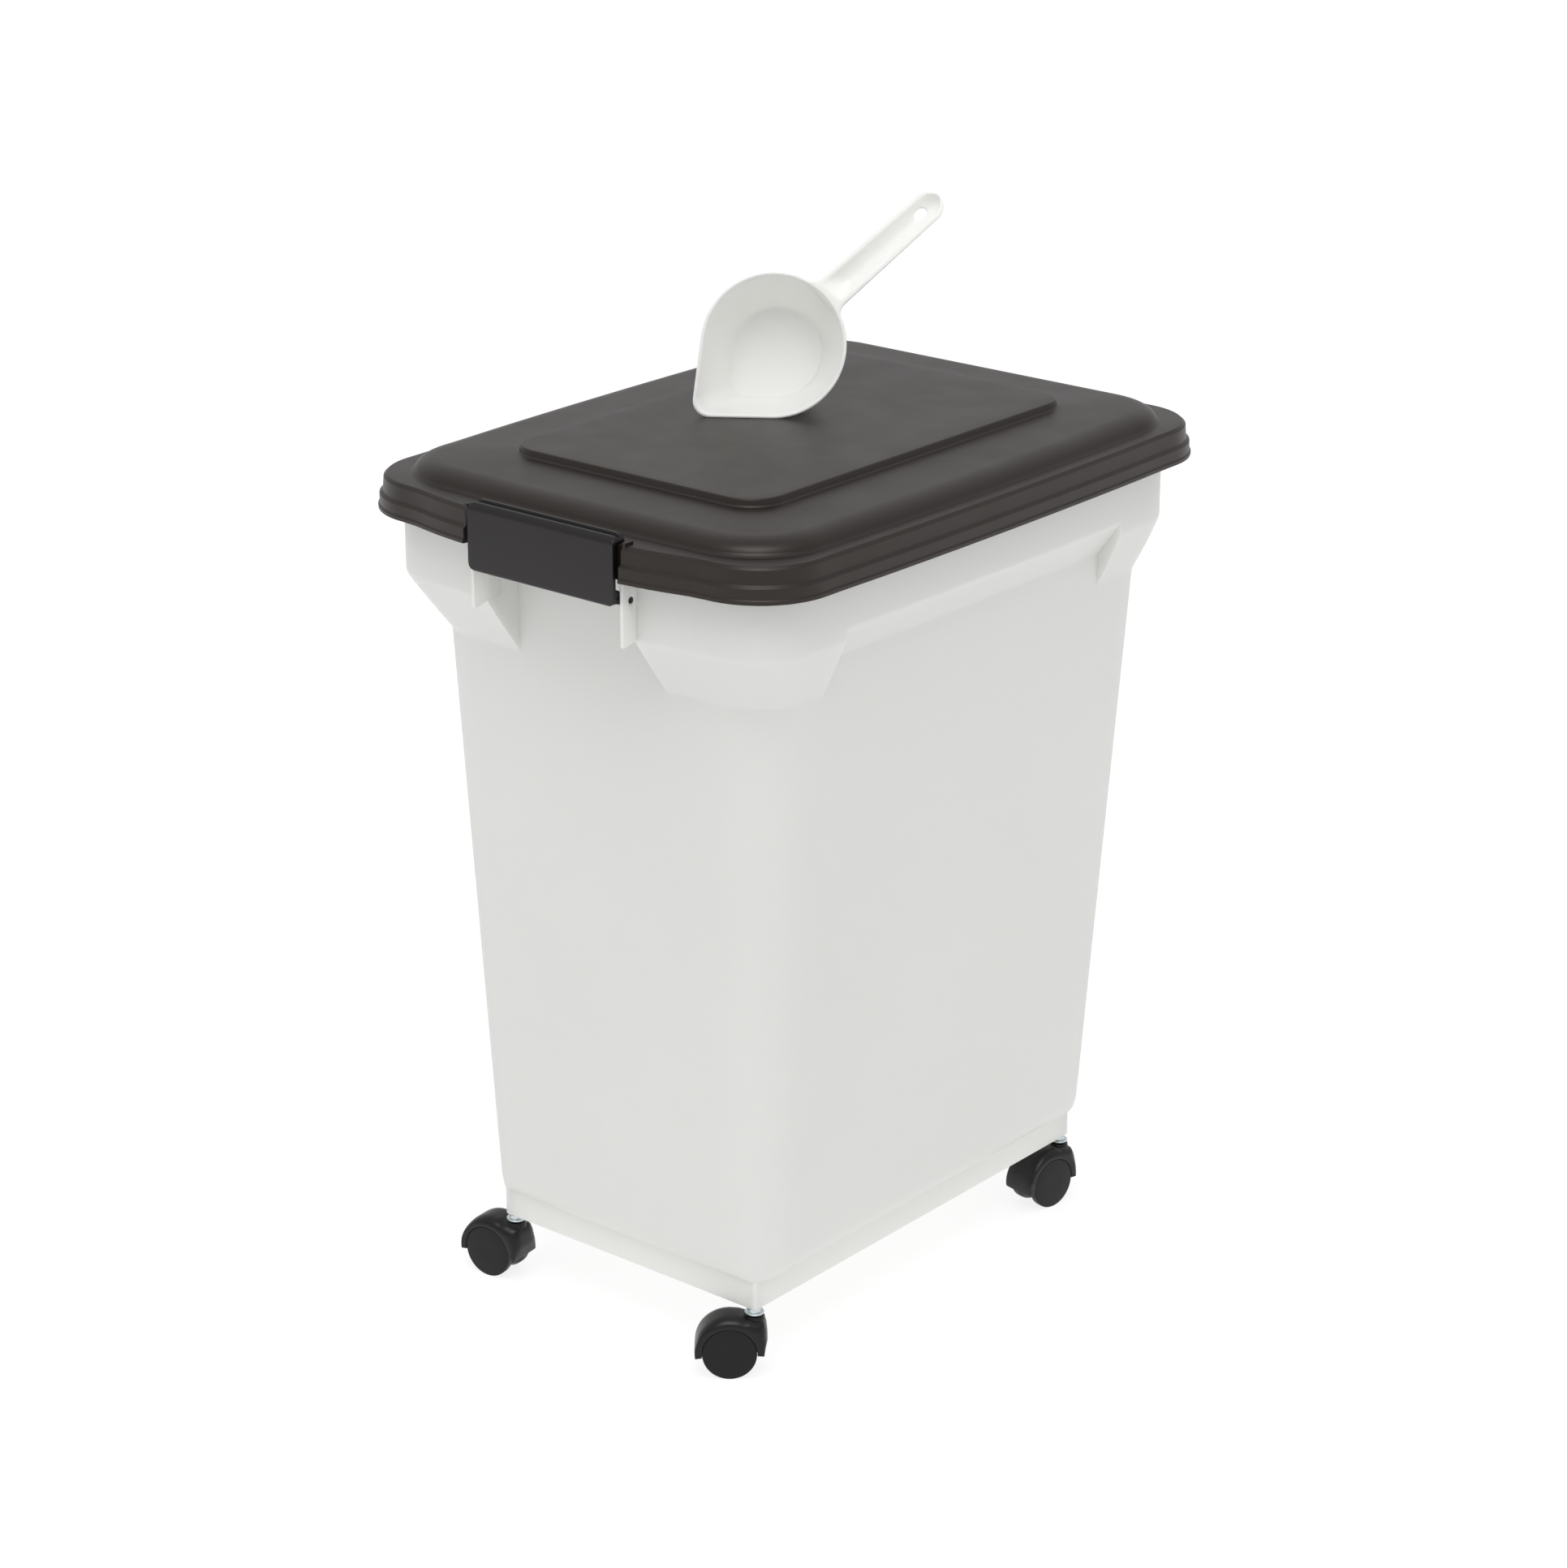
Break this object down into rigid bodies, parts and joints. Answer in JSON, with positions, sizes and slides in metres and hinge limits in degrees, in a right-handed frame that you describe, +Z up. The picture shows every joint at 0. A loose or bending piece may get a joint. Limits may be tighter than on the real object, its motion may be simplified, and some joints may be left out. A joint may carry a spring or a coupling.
{
  "type": "pet food bin",
  "caption": "Tapered translucent bin on swivel casters with a dark hinged lid, a front latch bar and a white scoop standing on the lid.",
  "frame": {"origin": "on the floor under the middle of the bin's outline", "axes": "+Z up, latch side faces -Y, hinge side faces +Y, +X to the right of somebody facing the latch"},
  "size_m": [0.3802, 0.5156, 0.7701],
  "materials": {
    "translucent_plastic": "translucent natural polypropylene, fine satin",
    "lid_plastic": "warm charcoal, fine moulded grain",
    "latch_plastic": "dark charcoal, satin",
    "gasket_rubber": "soft pale grey",
    "caster_plastic": "black, satin",
    "wheel_plastic": "black, satin",
    "zinc": "bright zinc plate",
    "scoop_plastic": "white, semi-gloss"
  },
  "bodies": {
    "tub_body": {"tub": "translucent_plastic", "hinge_pin_left": "zinc", "hinge_pin_right": "zinc", "front_right_socket_sleeve": "translucent_plastic", "front_right_stem": "zinc", "front_right_washer": "zinc", "front_left_socket_sleeve": "translucent_plastic", "front_left_stem": "zinc", "front_left_washer": "zinc", "rear_right_socket_sleeve": "translucent_plastic", "rear_right_stem": "zinc", "rear_right_washer": "zinc", "rear_left_socket_sleeve": "translucent_plastic", "rear_left_stem": "zinc", "rear_left_washer": "zinc"},
    "lid": {"lid": "lid_plastic", "lid_gasket": "gasket_rubber"},
    "latch": {"latch": "latch_plastic"},
    "front_right_caster": {"front_right_hood": "caster_plastic", "front_right_axle": "zinc"},
    "front_right_wheel_left": {"front_right_wheel_left": "wheel_plastic"},
    "front_right_wheel_right": {"front_right_wheel_right": "wheel_plastic"},
    "front_left_caster": {"front_left_hood": "caster_plastic", "front_left_axle": "zinc"},
    "front_left_wheel_left": {"front_left_wheel_left": "wheel_plastic"},
    "front_left_wheel_right": {"front_left_wheel_right": "wheel_plastic"},
    "rear_right_caster": {"rear_right_hood": "caster_plastic", "rear_right_axle": "zinc"},
    "rear_right_wheel_left": {"rear_right_wheel_left": "wheel_plastic"},
    "rear_right_wheel_right": {"rear_right_wheel_right": "wheel_plastic"},
    "rear_left_caster": {"rear_left_hood": "caster_plastic", "rear_left_axle": "zinc"},
    "rear_left_wheel_left": {"rear_left_wheel_left": "wheel_plastic"},
    "rear_left_wheel_right": {"rear_left_wheel_right": "wheel_plastic"},
    "scoop": {"scoop": "scoop_plastic"}
  },
  "joints": [
    {"name": "lid_hinge", "type": "hinge", "parent": "tub_body", "child": "lid", "pos_m": [0, 0.2518, 0.573], "axis": [-1, 0, 0], "range_deg": [0, 105]},
    {"name": "latch_pivot", "type": "hinge", "parent": "tub_body", "child": "latch", "pos_m": [0, -0.2434, 0.5657], "axis": [1, 0, 0], "range_deg": [0, 110]},
    {"name": "scoop_lift", "type": "slide", "parent": "lid", "child": "scoop", "axis": [0, 0, 1], "range_m": [0, 0.3]},
    {"name": "front_right_swivel", "type": "hinge", "parent": "tub_body", "child": "front_right_caster", "pos_m": [0.112, -0.1775, 0.04], "axis": [0, 0, 1], "continuous": true},
    {"name": "front_right_wheel_left_spin", "type": "hinge", "parent": "front_right_caster", "child": "front_right_wheel_left", "pos_m": [0.0989, -0.18834, 0.019], "axis": [0.6374, -0.7705, 0], "continuous": true},
    {"name": "front_right_wheel_right_spin", "type": "hinge", "parent": "front_right_caster", "child": "front_right_wheel_right", "pos_m": [0.0989, -0.18834, 0.019], "axis": [0.6374, -0.7705, 0], "continuous": true},
    {"name": "front_left_swivel", "type": "hinge", "parent": "tub_body", "child": "front_left_caster", "pos_m": [-0.112, -0.1775, 0.04], "axis": [0, 0, 1], "continuous": true},
    {"name": "front_left_wheel_left_spin", "type": "hinge", "parent": "front_left_caster", "child": "front_left_wheel_left", "pos_m": [-0.12892, -0.17916, 0.019], "axis": [0.0976, -0.9952, 0], "continuous": true},
    {"name": "front_left_wheel_right_spin", "type": "hinge", "parent": "front_left_caster", "child": "front_left_wheel_right", "pos_m": [-0.12892, -0.17916, 0.019], "axis": [0.0976, -0.9952, 0], "continuous": true},
    {"name": "rear_right_swivel", "type": "hinge", "parent": "tub_body", "child": "rear_right_caster", "pos_m": [0.112, 0.1775, 0.04], "axis": [0, 0, 1], "continuous": true},
    {"name": "rear_right_wheel_left_spin", "type": "hinge", "parent": "rear_right_caster", "child": "rear_right_wheel_left", "pos_m": [0.10922, 0.16073, 0.019], "axis": [0.9866, -0.1633, 0], "continuous": true},
    {"name": "rear_right_wheel_right_spin", "type": "hinge", "parent": "rear_right_caster", "child": "rear_right_wheel_right", "pos_m": [0.10922, 0.16073, 0.019], "axis": [0.9866, -0.1633, 0], "continuous": true},
    {"name": "rear_left_swivel", "type": "hinge", "parent": "tub_body", "child": "rear_left_caster", "pos_m": [-0.112, 0.1775, 0.04], "axis": [0, 0, 1], "continuous": true},
    {"name": "rear_left_wheel_left_spin", "type": "hinge", "parent": "rear_left_caster", "child": "rear_left_wheel_left", "pos_m": [-0.12175, 0.16357, 0.019], "axis": [0.8192, -0.5736, 0], "continuous": true},
    {"name": "rear_left_wheel_right_spin", "type": "hinge", "parent": "rear_left_caster", "child": "rear_left_wheel_right", "pos_m": [-0.12175, 0.16357, 0.019], "axis": [0.8192, -0.5736, 0], "continuous": true}
  ]
}
